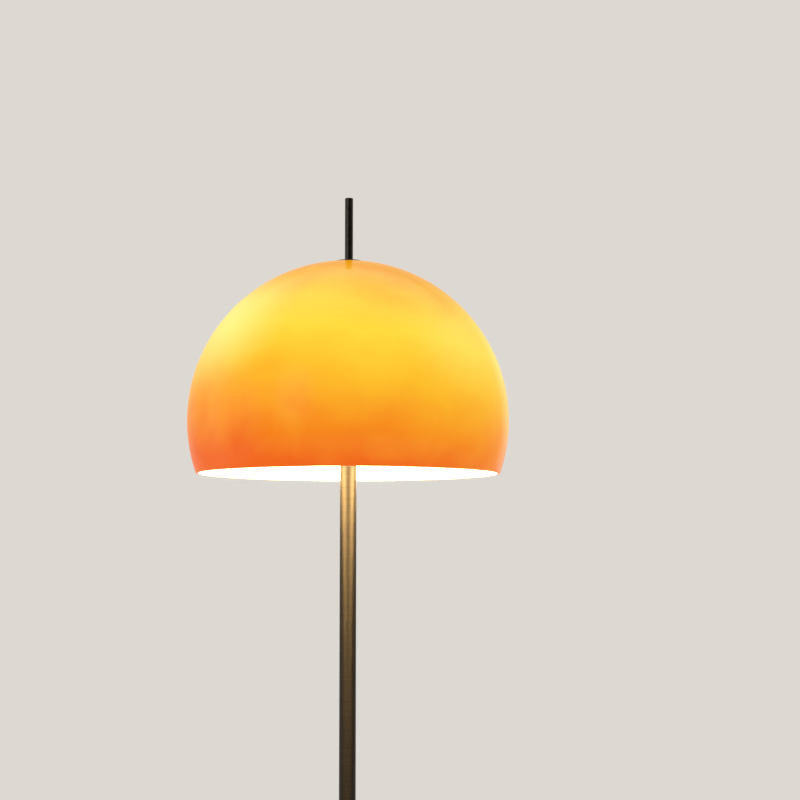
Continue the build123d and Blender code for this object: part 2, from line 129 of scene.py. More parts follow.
# ---- Base weight ----
# A grey-iron casting that keeps the lamp upright, hollow underneath and slotted for the cord.
# Sand-cast iron under black primer: a fine sandy skin, with duller and darker patches.

cast_iron, tree, shader, place = new_finish("grey_iron_sand_cast_primed", IOR=1.5)
sand_grain = 1.6 * mm
patch_size = 28 * mm
sand = add_node(
    tree, "ShaderNodeTexNoise", {"Vector": place, "Scale": 1 / sand_grain, "Detail": 3.0}
)
patches = add_node(
    tree, "ShaderNodeTexNoise", {"Vector": place, "Scale": 1 / patch_size, "Detail": 2.0}
)
lay_skin(
    shader,
    tones=(patches, (0.3, "#1C1B1A"), (0.7, "#2F2D2A")),
    roughness=(patches, 0.62, 0.86),
    dents=(sand, 0.7, 0.25),
)
dress(cast_iron, "base_weight")


# ---- Base cover ----
# A steel disc spun over a former, so its shoulder is one smooth radius, with its lower edge
# hemmed inward. The lathe leaves fine rings round the pole, and satin black nickel keeps them.

cover_radius = 140.0
cover_height = 30.0
cover_wall = 1.2
cover_gap = 3.0  # from the floor to its lower edge
shoulder = 12.0
hem = 0.55
stud_hole = 8.1
cord_height = 10.8
bush_hole = 5.3
drill_reach = 8.0  # of the drill for that hole, either way from the cover's face
crease = 32  # degrees: a turned edge from this angle on stays sharp


def rounded(*corners, steps=5):
    """Outline of a turned piece. A corner is (radius, height), or has its rounding as well."""
    outline = []
    for index, corner in enumerate(corners):
        here = Vector(corner[:2])
        if len(corner) == 2:
            outline.append(here)
            continue
        back = (Vector(corners[index - 1][:2]) - here).normalized()
        ahead = (Vector(corners[(index + 1) % len(corners)][:2]) - here).normalized()
        half = back.angle(ahead) / 2
        centre = here + (back + ahead).normalized() * corner[2] / sin(half)
        first = here + back * corner[2] / tan(half) - centre
        last = here + ahead * corner[2] / tan(half) - centre
        turn = first.angle_signed(last)
        for step in range(steps + 1):
            swing = Matrix.Rotation(-turn * step / steps, 2)
            outline.append(centre + swing @ first)
    return outline


def arc(radius, start, end, steps, centre_height=0.0):
    """Points of a circle about a centre on the axis, from one elevation in degrees to another."""
    angles = [radians(start + (end - start) * step / steps) for step in range(steps + 1)]
    return [Vector((radius * cos(a), centre_height + radius * sin(a))) for a in angles]


def soften(mesh, sharp_from):
    """Shades a mesh smoothly, except across edges from this angle on, in degrees."""
    mesh.polygons.foreach_set("use_smooth", [True] * len(mesh.polygons))
    mesh.set_sharp_from_angle(angle=radians(sharp_from))


def closed_shell(name, shape, finish, sharp_from, place_at=None):
    """Makes a piece of a closed shell, in its finish and in its place."""
    bmesh.ops.recalc_face_normals(shape, faces=shape.faces)
    mesh = bpy.data.meshes.new(name)
    shape.to_mesh(mesh)
    shape.free()
    soften(mesh, sharp_from)
    mesh.materials.append(finish)
    piece = bpy.data.objects.new(name, mesh)
    bpy.context.scene.collection.objects.link(piece)
    piece.matrix_world = place_at or Matrix.Identity(4)
    return piece


def turned_piece(name, outline, finish, steps=96, relief=None, place_at=None):
    """Turns an outline in millimetres about Z. relief(radius, height, angle) moves a radius."""
    shape = bmesh.new()
    rings = []
    for radius, height in outline:
        if radius < 1e-6:
            rings.append([shape.verts.new((0, 0, height * mm))] * steps)
            continue
        ring = []
        for step in range(steps):
            angle = 2 * pi * step / steps
            reach = relief(radius, height, angle) if relief else radius
            point = (reach * cos(angle) * mm, reach * sin(angle) * mm, height * mm)
            ring.append(shape.verts.new(point))
        rings.append(ring)
    for index, ring in enumerate(rings):
        after = rings[(index + 1) % len(rings)]
        for step in range(steps):
            beside = (step + 1) % steps
            corners = (ring[step], ring[beside], after[beside], after[step])
            distinct = list(dict.fromkeys(corners))
            if len(distinct) > 2:
                shape.faces.new(distinct)
    return closed_shell(name, shape, finish, crease, place_at)


def cut_holes(piece, cutters):
    """Drills a piece with turned cutters, then throws the cutters away."""
    for cutter in cutters:
        drill = piece.modifiers.new("drill", "BOOLEAN")
        drill.operation = "DIFFERENCE"
        drill.solver = "EXACT"
        drill.object = cutter
    bpy.context.view_layer.update()
    evaluated = piece.evaluated_get(bpy.context.evaluated_depsgraph_get())
    drilled = bpy.data.meshes.new_from_object(evaluated)
    piece.modifiers.clear()
    piece.data = drilled
    soften(drilled, crease)
    for cutter in cutters:
        bpy.data.objects.remove(cutter)


def install(piece, body, slot_name, *replaced):
    """Fixes a piece to its body and lets it stand for CAD nodes; slot_name is not used."""
    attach(piece, body)
    if replaced:
        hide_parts(*replaced)


spun_steel, tree, shader, place = new_finish(
    "steel_spun_black_nickel_satin", Metallic=1.0, Anisotropic=0.45, Anisotropic_Rotation=0.25
)
ring_pitch = 0.9 * mm  # real tool marks are 0.2 mm apart, drawn coarser so that they show
smear_size = 45 * mm
parts = add_node(tree, "ShaderNodeSeparateXYZ", {"Vector": place})
flat = add_node(tree, "ShaderNodeCombineXYZ", {"X": parts.outputs["X"], "Y": parts.outputs["Y"]})
reach = add_node(tree, "ShaderNodeVectorMath", {0: flat.outputs["Vector"]}, operation="LENGTH")
ring_line = add_node(
    tree, "ShaderNodeCombineXYZ", {"X": reach.outputs["Value"], "Y": parts.outputs["Z"]}
)
tool_rings = add_node(
    tree,
    "ShaderNodeTexNoise",
    {"Vector": ring_line.outputs["Vector"], "Scale": 1 / ring_pitch, "Detail": 2.0},
)
handling = add_node(
    tree, "ShaderNodeTexNoise", {"Vector": place, "Scale": 1 / smear_size, "Detail": 3.0}
)
lay_skin(
    shader,
    tones=(tool_rings, (0.3, "#463B32"), (0.7, "#594D42")),
    roughness=(handling, 0.3, 0.44),
    dents=(tool_rings, 0.25, 0.02),
)
round_pole = add_node(tree, "ShaderNodeTangent", direction_type="RADIAL", axis="Z")
tree.links.new(round_pole.outputs["Tangent"], shader.inputs["Tangent"])

cover_inside = cover_radius - cover_wall
cover_outline = rounded(
    (stud_hole, cover_height),
    (cover_radius, cover_height, shoulder),
    (cover_radius, cover_gap, hem),
    (cover_inside, cover_gap, hem),
    (cover_inside, cover_height - cover_wall, shoulder - cover_wall),
    (stud_hole, cover_height - cover_wall),
    steps=14,
)
base_cover = turned_piece("spun_cover", cover_outline, spun_steel, steps=240)
to_the_back = Matrix.Translation((0, cover_radius * mm, cord_height * mm))
to_the_back @= Matrix.Rotation(radians(-90), 4, "X")
drill_outline = rounded(
    (0, -drill_reach), (bush_hole, -drill_reach), (bush_hole, drill_reach), (0, drill_reach)
)
bush_drill = turned_piece("bush_drill", drill_outline, spun_steel, 64, place_at=to_the_back)
cut_holes(base_cover, [bush_drill])
install(base_cover, "stem", "dark_steel", "base_cover")


# ---- Cord bush ----
# A flanged bush moulded in black nylon, pressed through the cover and the iron so that no
# metal edge meets the cord. The mould's eroded skin is satin, and its flange is rounded over.

bush_radius = 5.2
bush_bore = 3.5
bush_back = -18.0  # from the cover's face, inward
flange_radius = 7.0
flange_thickness = 2.0

black_nylon, tree, shader, place = new_finish(
    "nylon_66_moulded_satin", IOR=1.53, Base_Color=linear("#1A1A1C")
)
spark_size = 0.5 * mm
eroded = add_node(
    tree, "ShaderNodeTexNoise", {"Vector": place, "Scale": 1 / spark_size, "Detail": 2.0}
)
lay_skin(shader, roughness=(eroded, 0.38, 0.56), dents=(eroded, 0.3, 0.03))

bush_outline = rounded(
    (bush_bore, bush_back, 0.4),
    (bush_radius, bush_back, 0.6),
    (bush_radius, 0),
    (flange_radius, 0, 0.3),
    (flange_radius, flange_thickness, 1.0),
    (bush_bore, flange_thickness, 0.8),
)
cord_bush = turned_piece("cord_bush_moulding", bush_outline, black_nylon, 64, place_at=to_the_back)
install(cord_bush, "stem", "black_plastic", "cord_bush")


# ---- Stud, washer and nut under the base, and the terminal block ----
# A turned plug with a hollow stud clamps the base to the pole from below. Zinc plating is
# bright with a cool haze where its passivation is thicker. The block is moulded PBT.

zinc_plated, tree, shader, place = new_finish("mild_steel_zinc_plated", Metallic=1.0)
haze_size = 9 * mm
haze = add_node(
    tree, "ShaderNodeTexNoise", {"Vector": place, "Scale": 1 / haze_size, "Detail": 4.0}
)
lay_skin(
    shader,
    tones=(haze, (0.3, "#9DA3A6"), (0.5, "#B4B5B1"), (0.72, "#BDB9A8")),
    roughness=(haze, 0.24, 0.44),
)
dress(zinc_plated, "foot_stud", "base_washer", "base_nut")

white_polymer, tree, shader, place = new_finish("pbt_moulded_satin", IOR=1.55)
grain_size = 0.6 * mm
flow_size = 22 * mm
grain = add_node(
    tree, "ShaderNodeTexNoise", {"Vector": place, "Scale": 1 / grain_size, "Detail": 2.0}
)
flow = add_node(
    tree, "ShaderNodeTexNoise", {"Vector": place, "Scale": 1 / flow_size, "Detail": 2.0}
)
lay_skin(
    shader,
    tones=(flow, (0.3, "#DEDACF"), (0.7, "#E8E4DA")),
    roughness=(grain, 0.34, 0.5),
    dents=(grain, 0.25, 0.02),
)
dress(white_polymer, "base_terminal", "hub_terminal")


# ---- Foot collar ----
# A collar turned from steel bar that hides the joint of pole and base. It carries the
# same fine rings as the cover, and its upper shoulder is rounded over by the lathe.

collar_radius = 17.0
collar_bore = 10.1
collar_top = 44.0

collar_outline = rounded(
    (collar_bore, cover_height),
    (collar_radius, cover_height, 0.4),
    (collar_radius, collar_top, 6.0),
    (collar_bore, collar_top, 0.3),
    steps=12,
)
foot_collar = turned_piece("turned_foot_collar", collar_outline, spun_steel, 128)
install(foot_collar, "stem", "dark_steel", "foot_collar")


# ---- Pole ----
# Three lengths of 20 mm steel tube on hidden threaded joiners, so that only a hairline shows
# at each joint. Centreless grinding leaves fine rings round the tube, and the satin black
# nickel over them draws every light out into a long upright streak.

pole_radius = 10.0
pole_bore = 8.8
tube_edge = 0.3
edge_support = 1.5  # a ring this far from each rounded end keeps the long wall's shading level
lower_joint = 557.0
upper_joint = 1084.0
pole_top = 1298.0
plug_flange = 2.0
plug_depth = 22.0
plug_radius = 8.75
plug_edge = 0.2
nipple_bore = 5.05  # clears the hollow nipple that the cluster is pulled down with

ground_steel, tree, shader, place = new_finish(
    "steel_ground_black_nickel_satin", Metallic=1.0, Anisotropic=0.78, Anisotropic_Rotation=0.25
)
ring_pitch = 0.8 * mm  # real grinding marks are 0.1 mm apart, drawn coarser so that they show
ring_run = 45 * mm
smear_size = 70 * mm
ring_frame = add_node(
    tree,
    "ShaderNodeMapping",
    {"Vector": place, "Scale": (1 / ring_run, 1 / ring_run, 1 / ring_pitch)},
)
ground_rings = add_node(
    tree,
    "ShaderNodeTexNoise",
    {"Vector": ring_frame.outputs["Vector"], "Scale": 1.0, "Detail": 3.0},
)
handling = add_node(
    tree, "ShaderNodeTexNoise", {"Vector": place, "Scale": 1 / smear_size, "Detail": 3.0}
)
lay_skin(
    shader,
    tones=(ground_rings, (0.3, "#3F3A35"), (0.7, "#4E4842")),
    roughness=(handling, 0.46, 0.56),
    dents=(ground_rings, 0.2, 0.012),
)
round_pole = add_node(tree, "ShaderNodeTangent", direction_type="RADIAL", axis="Z")
tree.links.new(round_pole.outputs["Tangent"], shader.inputs["Tangent"])

pole_lengths = {
    "pole_lower": (cover_height, lower_joint),
    "pole_middle": (lower_joint, upper_joint),
    "pole_upper": (upper_joint, pole_top),
}
for name, (bottom, top) in pole_lengths.items():
    tube_outline = rounded(
        (pole_bore, bottom),
        (pole_radius, bottom, tube_edge),
        (pole_radius, bottom + edge_support),
        (pole_radius, top - edge_support),
        (pole_radius, top, tube_edge),
        (pole_bore, top),
    )
    tube = turned_piece(name + "_tube", tube_outline, ground_steel, 96)
    install(tube, "stem", "dark_steel", name)

dress(zinc_plated, "joiner_lower", "joiner_upper")
plug_outline = rounded(
    (nipple_bore, pole_top - plug_depth),
    (plug_radius, pole_top - plug_depth),
    (plug_radius, pole_top),
    (pole_radius, pole_top, plug_edge),
    (pole_radius, pole_top + plug_flange, plug_edge),
    (nipple_bore, pole_top + plug_flange),
)
top_plug = turned_piece("turned_top_plug", plug_outline, ground_steel, 96)
install(top_plug, "stem", "dark_steel", "pole_top_plug")


# ---- Inner lead ----
# A round two-core lead sheathed in white PVC, which climbs from the base to the cluster
# inside the pole. Extruded PVC is smooth and slightly greasy to the eye.

pvc_sheath, tree, shader, place = new_finish("pvc_extruded_sheath", IOR=1.53)
drag_size = 6 * mm
drag = add_node(
    tree, "ShaderNodeTexNoise", {"Vector": place, "Scale": 1 / drag_size, "Detail": 2.0}
)
lay_skin(shader, (drag, (0.3, "#CFCBC0"), (0.7, "#DAD6CC")), roughness=(drag, 0.36, 0.5))
dress(pvc_sheath, "internal_lead", "arm_wires")


# ---- Cluster lid, nipple and nut ----
# A turned lid closes the cluster from below and is pulled down on the pole by a hollow
# nipple and its nut. White stove enamel: glossy, with the faint peel of a sprayed coat.

cluster_z = 1320.0  # where the axes of the three arms meet
hub_bottom = 1303.0
lid_bottom = 1300.0
hub_radius = 30.0
spigot_radius = 26.95
spigot_top = 1308.0
recess_radius = 23.95

stove_enamel, tree, shader, place = new_finish("stove_enamel_sprayed_white", IOR=1.5)
peel_size = 2.2 * mm
coat_size = 30 * mm
peel = add_node(
    tree, "ShaderNodeTexNoise", {"Vector": place, "Scale": 1 / peel_size, "Detail": 1.0}
)
coat = add_node(
    tree, "ShaderNodeTexNoise", {"Vector": place, "Scale": 1 / coat_size, "Detail": 2.0}
)
lay_skin(
    shader,
    tones=(coat, (0.3, "#E3DFD5"), (0.7, "#ECE8DE")),
    roughness=(coat, 0.16, 0.28),
    dents=(peel, 0.35, 0.03),
)

lid_outline = rounded(
    (nipple_bore, lid_bottom),
    (hub_radius, lid_bottom, 1.2),
    (hub_radius, hub_bottom, 0.2),
    (spigot_radius, hub_bottom),
    (spigot_radius, spigot_top),
    (recess_radius, spigot_top),
    (recess_radius, hub_bottom),
    (nipple_bore, hub_bottom),
)
hub_lid = turned_piece("enamelled_lid", lid_outline, stove_enamel, 128)
install(hub_lid, "stem", "white_enamel", "hub_lid")
dress(zinc_plated, "hub_nipple", "nipple_nut")


# ---- Cluster body ----
# A zinc die-casting in the same enamel: a short skirt, and a cone square to the three arms,
# with a flat spot-faced for each arm and a boss for the tie rod on top.

arm_lean = 35.0  # degrees above the horizontal
arm_bore = 5.05  # clears the arms' thread
arm_seat = 25.5  # heights on an arm run out along it from the meeting point
spot_radius = 8.5  # of the flat faced for each arm
seat_reach = 26.0  # from the meeting point to the cone's outside
wall_reach = 23.0
neck_radius = 9.0
neck_height = 3.0
skirt_bore = 27.0
boss_height = 9.0
rod_bore = 3.05
drill_start = 12.0
drill_end = 45.0


def cone_height(reach, radius):
    """Height above the meeting point where a cone square to the arms has this radius."""
    return (reach - radius * cos(radians(arm_lean))) / sin(radians(arm_lean))


def arm_frame(number):
    """The frame of one arm: its Z axis runs out along the arm from the meeting point."""
    turn = Matrix.Rotation(radians(90 + 120 * (number - 1)), 4, "Z")
    lean = Matrix.Rotation(radians(90 - arm_lean), 4, "Y")
    return Matrix.Translation((0, 0, cluster_z * mm)) @ turn @ lean


neck_z = cluster_z + cone_height(seat_reach, neck_radius)
hub_top = neck_z + neck_height
boss_bottom = hub_top - boss_height
boss_drop = (boss_bottom - cluster_z) * sin(radians(arm_lean))
boss_edge = (wall_reach - boss_drop) / cos(radians(arm_lean))
hub_outline = rounded(
    (skirt_bore, hub_bottom),
    (hub_radius, hub_bottom, 0.6),
    (hub_radius, cluster_z + cone_height(seat_reach, hub_radius), 3.0),
    (neck_radius, neck_z, 2.0),
    (neck_radius, hub_top, 0.6),
    (rod_bore, hub_top),
    (rod_bore, boss_bottom),
    (boss_edge, boss_bottom),
    (skirt_bore, cluster_z + cone_height(wall_reach, skirt_bore)),
)
hub_shell = turned_piece("die_cast_cluster", hub_outline, stove_enamel, 144)
arm_drill = rounded(
    (0, drill_start),
    (arm_bore, drill_start),
    (arm_bore, arm_seat),
    (spot_radius, arm_seat),
    (spot_radius, drill_end),
    (0, drill_end),
)
arm_drills = [
    turned_piece(f"arm_drill_{number}", arm_drill, stove_enamel, 64, place_at=arm_frame(number))
    for number in (1, 2, 3)
]
cut_holes(hub_shell, arm_drills)
install(hub_shell, "stem", "white_enamel", "hub_shell")


# ---- Arms ----
# Three short hollow arms turned from steel, flanged to seat on the cluster and held by a
# lock nut inside it. Zinc plated, as the stud is.

arm_start = 16.5
arm_end = 37.5
arm_radius = 5.0
wire_bore = 3.5
collar_reach = 8.0  # radius of the flange
collar_end = 28.5

arm_outline = rounded(
    (wire_bore, arm_start),
    (arm_radius, arm_start),
    (arm_radius, arm_seat),
    (collar_reach, arm_seat, 0.3),
    (collar_reach, collar_end, 0.8),
    (arm_radius, collar_end),
    (arm_radius, arm_end),
    (wire_bore, arm_end),
)
for number in (1, 2, 3):
    arm = turned_piece(
        f"flanged_arm_{number}", arm_outline, zinc_plated, 64, place_at=arm_frame(number)
    )
    install(arm, "stem", "zinc_steel", f"arm_tube_{number}")
dress(zinc_plated, "arm_nuts")


# ---- Lampholders ----
# Moulded PBT cups screwed on the arms, each with a porcelain floor that carries a rolled
# screw sleeve and a sprung contact. Flutes round the cup give the fingers a grip.

holder_start = 29.5
cup_neck_top = 37.5
holder_floor = 44.5
holder_mouth = 80.5
holder_radius = 19.5
cup_neck = 8.5  # radius
cup_bore = 17.7
groove_depth = 0.5
lip_step = 0.35
insert_radius = 17.6
insert_rim = 15.4
insert_step = 49.9
insert_face = 51.5
run_out = 2.0  # of flutes and screw, towards their ends
flute_count = 36
flute_depth = 0.55
flute_low = 55.0
flute_high = 71.0
thread_pitch = 3.629  # of the E27 screw
sleeve_bore = 13.5
sleeve_radius = 13.72
sleeve_lip = 13.9
screw_low = 52.5
screw_high = 72.5
sleeve_wave = 0.22

steatite, tree, shader, place = new_finish("steatite_porcelain_pressed", IOR=1.55, Roughness=0.58)
press_grain = 1.1 * mm
pressed = add_node(
    tree, "ShaderNodeTexNoise", {"Vector": place, "Scale": 1 / press_grain, "Detail": 3.0}
)
lay_skin(shader, (pressed, (0.3, "#D9D5CA"), (0.6, "#E6E2D9")), dents=(pressed, 0.4, 0.05))

nickelled_brass, tree, shader, place = new_finish("brass_nickel_plated", Metallic=1.0)
tarnish_size = 5 * mm
tarnish = add_node(
    tree, "ShaderNodeTexNoise", {"Vector": place, "Scale": 1 / tarnish_size, "Detail": 3.0}
)
lay_skin(
    shader,
    tones=(tarnish, (0.3, "#B7AC94"), (0.7, "#CDC5B3")),
    roughness=(tarnish, 0.16, 0.32),
)


def fluted(radius, height, angle):
    """The cup's outside, hollowed by finger flutes that run out smoothly at both ends."""
    if radius < holder_radius - 0.2 or not flute_low < height < flute_high:
        return radius
    to_the_end = min(height - flute_low, flute_high - height)
    depth = flute_depth * min(1.0, to_the_end / run_out)
    return radius - depth * (0.5 - 0.5 * cos(flute_count * angle))


def screw_wave(height, angle):
    """The rolled E27 screw, from -1 in its root to 1 on its crest."""
    return cos(2 * pi * height / thread_pitch - angle)


def rolled_sleeve(radius, height, angle):
    """The sleeve's rolled screw. It dies out towards the sleeve's plain lip and foot."""
    to_the_end = min(height - screw_low, screw_high - height)
    fade = max(0.0, min(1.0, to_the_end / run_out))
    return radius + sleeve_wave * fade * screw_wave(height, angle)


flute_rows = [
    (holder_radius, flute_low + (flute_high - flute_low) * row / 16) for row in range(17)
]
cup = rounded(
    (arm_bore, holder_start),
    (cup_neck, holder_start, 0.6),
    (cup_neck, cup_neck_top, 1.2),
    (holder_radius, holder_floor, 1.6),
    (holder_radius, 51.2, 0.25),
    (holder_radius - groove_depth, 51.5, 0.15),
    (holder_radius - groove_depth, 52.5, 0.15),
    (holder_radius, 52.8, 0.25),
    *flute_rows,
    (holder_radius, 75.5, 0.3),
    (holder_radius - lip_step, 76.2, 0.3),
    (holder_radius - lip_step, holder_mouth, 0.7),
    (cup_bore, holder_mouth, 0.5),
    (cup_bore, holder_floor),
    (arm_bore, holder_floor),
    steps=4,
)
insert = rounded(
    (0, holder_floor),
    (insert_radius, holder_floor),
    (insert_radius, insert_step, 0.4),
    (insert_rim, insert_step, 0.3),
    (insert_rim, insert_face, 0.5),
    (0, insert_face),
    steps=4,
)
sleeve_rows = [screw_low + (screw_high - screw_low) * row / 66 for row in range(67)]
sleeve = rounded(
    (sleeve_bore, insert_face),
    *[(sleeve_bore, height) for height in sleeve_rows],
    (sleeve_bore, 73.3),
    (sleeve_lip, 73.5),
    (sleeve_lip, 73.1),
    *[(sleeve_radius, height) for height in reversed(sleeve_rows)],
    (sleeve_radius, insert_face),
)
tongue_width = 5.0
tongue_thickness = 0.4
tongue_line = [  # along the tongue and out along the arm, from its riveted foot to its free end
    (-4.5, insert_face),
    (-3.0, insert_face),
    (-2.3, 51.62),
    (-1.4, 52.18),
    (-0.4, 52.5),
    (1.0, 52.6),
    (2.4, 52.46),
    (3.6, 52.05),
    (4.5, insert_face + 0.05),
]


def sprung_tongue(name, finish, place_at):
    """A strip bent along its line. It is one closed shell with square sheared edges."""
    shape = bmesh.new()
    sections = []
    for along, height in tongue_line:
        section = []
        for side, above in ((-1, 0), (1, 0), (1, 1), (-1, 1)):
            across = side * tongue_width / 2 * mm
            up = (height + above * tongue_thickness) * mm
            section.append(shape.verts.new((along * mm, across, up)))
        sections.append(section)
    for here, after in zip(sections, sections[1:]):
        for edge in range(4):
            beside = (edge + 1) % 4
            shape.faces.new((here[edge], here[beside], after[beside], after[edge]))
    shape.faces.new(sections[0])
    shape.faces.new(sections[-1])
    return closed_shell(name, shape, finish, sharp_from=50, place_at=place_at)


holder_parts = [
    ("holder_cup", cup, white_polymer, 288, fluted, "white_plastic", "holder_shell"),
    ("holder_floor", insert, steatite, 72, None, "porcelain", "holder_insert"),
    ("screw_sleeve", sleeve, nickelled_brass, 64, rolled_sleeve, "plated_brass", "holder_sleeve"),
]
for number in (1, 2, 3):
    along = arm_frame(number)
    for name, outline, finish, steps, relief, slot_name, node in holder_parts:
        part = turned_piece(f"{name}_{number}", outline, finish, steps, relief, along)
        install(part, "stem", slot_name, f"{node}_{number}")
    contact = sprung_tongue(f"sprung_contact_{number}", nickelled_brass, along)
    install(contact, "stem", "plated_brass", f"holder_contact_{number}")


# ---- Bulbs ----
# G45 lamps: a rolled screw cap with a black glass insulator and a soldered tip, a moulded
# housing that carries off heat, and an opal globe that glows evenly when it is lit.

tip_at = 53.3
glass_at = 54.4
cap_at = 58.3
housing_at = 80.3
split_at = 100.3
globe_at = 108.8
globe_radius = 22.5
split_radius = sqrt(globe_radius**2 - (globe_at - split_at) ** 2)
cap_radius = 12.6
cap_rim = 13.05
cap_screw_low = 59.5
cap_screw_high = 76.5
cap_run_out = 1.6
cap_wave = 0.45
seam = 0.02  # between pieces that are joined for good

black_glass, tree, shader, place = new_finish(
    "vitrite_pressed_black", IOR=1.6, Base_Color=linear("#141315")
)
chill_size = 2 * mm
chill = add_node(
    tree, "ShaderNodeTexNoise", {"Vector": place, "Scale": 1 / chill_size, "Detail": 2.0}
)
lay_skin(shader, roughness=(chill, 0.08, 0.24))

solder, tree, shader, place = new_finish("tin_solder_reflowed", Metallic=1.0)
frost_size = 0.8 * mm
frost = add_node(
    tree, "ShaderNodeTexNoise", {"Vector": place, "Scale": 1 / frost_size, "Detail": 3.0}
)
lay_skin(shader, (frost, (0.3, "#A5A5A3"), (0.7, "#C4C4C1")), roughness=(frost, 0.3, 0.5))

opal_lit, tree, shader, place = new_finish(
    "polycarbonate_opal_lit", IOR=1.58, Roughness=0.22, Emission_Strength=1.3
)
parts = add_node(tree, "ShaderNodeSeparateXYZ", {"Vector": place})
up_the_globe = add_node(
    tree,
    "ShaderNodeMapRange",
    {
        "Value": parts.outputs["Z"],
        "From Min": split_at * mm,
        "From Max": (globe_at + globe_radius) * mm,
    },
)
lay_skin(shader, (up_the_globe, (0.0, "#F6C98A"), (0.35, "#FFE7BD"), (1.0, "#FFF0D2")), lit=True)


def rolled_cap(radius, height, angle):
    """The cap's rolled screw, in step with the sleeve's and fading at both ends."""
    to_the_end = min(height - cap_screw_low, cap_screw_high - height)
    fade = max(0.0, min(1.0, to_the_end / cap_run_out))
    return radius + cap_wave * fade * screw_wave(height, angle)


cap_rows = [cap_screw_low + (cap_screw_high - cap_screw_low) * row / 60 for row in range(61)]
cap = rounded(
    (0, cap_at),
    (11.2, cap_at),
    (12.2, 58.8),
    *[(cap_radius, height) for height in cap_rows],
    (12.75, 77.0),
    (cap_rim, 77.6),
    (cap_rim, housing_at - seam),
    (0, housing_at - seam),
)
glass = rounded(
    (0, glass_at),
    (5.6, glass_at, 0.5),
    (11.1, cap_at - seam, 0.3),
    (0, cap_at - seam),
    steps=4,
)
tip = rounded((0, tip_at), (3.4, tip_at, 1.0), (4.5, 54.35, 0.3), (0, 54.35), steps=4)
housing = rounded(
    (0, housing_at),
    (14.0, housing_at, 0.4),
    (14.0, 83.4, 0.4),
    (14.31, 84.3, 0.5),
    (16.3, 89.2, 0.2),
    (15.9, 89.5, 0.15),
    (16.15, 90.1, 0.15),
    (16.75, 90.3, 0.2),
    (18.3, 94.1, 0.2),
    (17.9, 94.4, 0.15),
    (18.15, 95.0, 0.15),
    (18.75, 95.2, 0.2),
    (split_radius, split_at - 0.1, 0.4),
    (0, split_at - 0.1),
    steps=3,
)
joint_angle = degrees(asin((split_at - globe_at) / globe_radius))
globe = [Vector((0, split_at)), Vector((split_radius - 0.5, split_at))]
globe += arc(globe_radius, joint_angle + 0.6, 90, 44, globe_at)
globe[-1] = Vector((0, globe_at + globe_radius))

bulb_parts = [
    ("screw_cap", cap, nickelled_brass, 64, rolled_cap, "plated_brass", "bulb_cap"),
    ("glass_insulator", glass, black_glass, 64, None, "black_plastic", "bulb_cap"),
    ("soldered_tip", tip, solder, 40, None, "plated_brass", "bulb_cap"),
    ("heat_housing", housing, white_polymer, 96, None, "white_plastic", "bulb_housing"),
    ("opal_globe", globe, opal_lit, 96, None, "opal_globe", "bulb_globe"),
]
for number in (1, 2, 3):
    along = arm_frame(number)
    for name, outline, finish, steps, relief, slot_name, node in bulb_parts:
        part = turned_piece(f"{name}_{number}", outline, finish, steps, relief, along)
        install(part, f"bulb_{number}", slot_name, f"{node}_{number}")


# ---- Riser and tie rod ----
# A ground distance tube stands on the cluster and carries the crown. The tie rod inside it
# is zinc-plated steel, rolled with an M6 thread where it comes out at the top.

riser_bore = 3.6
riser_radius = 5.0
riser_edge = 0.25
carrier_bottom = 1514.65
rod_bottom = 1346.5
rod_top = 1547.0
rod_radius = 3.0
rod_point = 0.8
rod_thread_from = 1505.0
rod_pitch = 1.0
rod_thread_depth = 0.5
rows_a_turn = 8

riser_outline = rounded(
    (riser_bore, hub_top),
    (riser_radius, hub_top, riser_edge),
    (riser_radius, hub_top + edge_support),
    (riser_radius, carrier_bottom - edge_support),
    (riser_radius, carrier_bottom, riser_edge),
    (riser_bore, carrier_bottom),
)
riser = turned_piece("ground_riser", riser_outline, ground_steel, 64)
install(riser, "stem", "dark_steel", "riser_tube")


def rolled_thread(radius, height, angle):
    """A metric thread: straight flanks, cut in from the rod's full radius."""
    if height < rod_thread_from or height > rod_top - rod_point or radius < rod_radius:
        return radius
    turn = (height / rod_pitch - angle / (2 * pi)) % 1.0
    return radius - rod_thread_depth * abs(2 * turn - 1)


thread_rows = int((rod_top - rod_point - rod_thread_from) / rod_pitch * rows_a_turn)
thread_heights = [rod_thread_from + row * rod_pitch / rows_a_turn for row in range(thread_rows)]
rod_outline = rounded(
    (0, rod_bottom),
    (rod_radius, rod_bottom),
    (rod_radius, rod_thread_from - 0.1),
    *[(rod_radius, height) for height in thread_heights],
    (rod_radius - 0.6, rod_top),
    (0, rod_top),
)
tie_rod = turned_piece("threaded_tie_rod", rod_outline, zinc_plated, 32, rolled_thread)
install(tie_rod, "stem", "zinc_steel", "tie_rod")


# ---- Crown carrier, nut and lower gasket ----
# A pressed steel disc with a dished brim, clamped by a thin nut, and a thick rubber ring on
# which the ball's crown rests. The rubber is moulded, matt and slightly dusty.

carrier_top = 1516.65
brim_start = 22.0
brim_radius = 36.0
brim_slope = 16.0  # degrees
brim_drop = (brim_radius - brim_start) * tan(radians(brim_slope))
land_z = 1521.15
nut_flats = 10.0
nut_height = 3.2
gasket_bore = 8.0
gasket_outside = 17.0

carrier_outline = rounded(
    (rod_bore, carrier_bottom),
    (brim_start, carrier_bottom, 6.0),
    (brim_radius, carrier_bottom - brim_drop, 0.5),
    (brim_radius, carrier_top - brim_drop, 0.5),
    (brim_start, carrier_top, 8.0),
    (rod_bore, carrier_top),
    steps=6,
)
carrier = turned_piece("pressed_carrier", carrier_outline, zinc_plated, 128)
install(carrier, "stem", "zinc_steel", "carrier_disc")


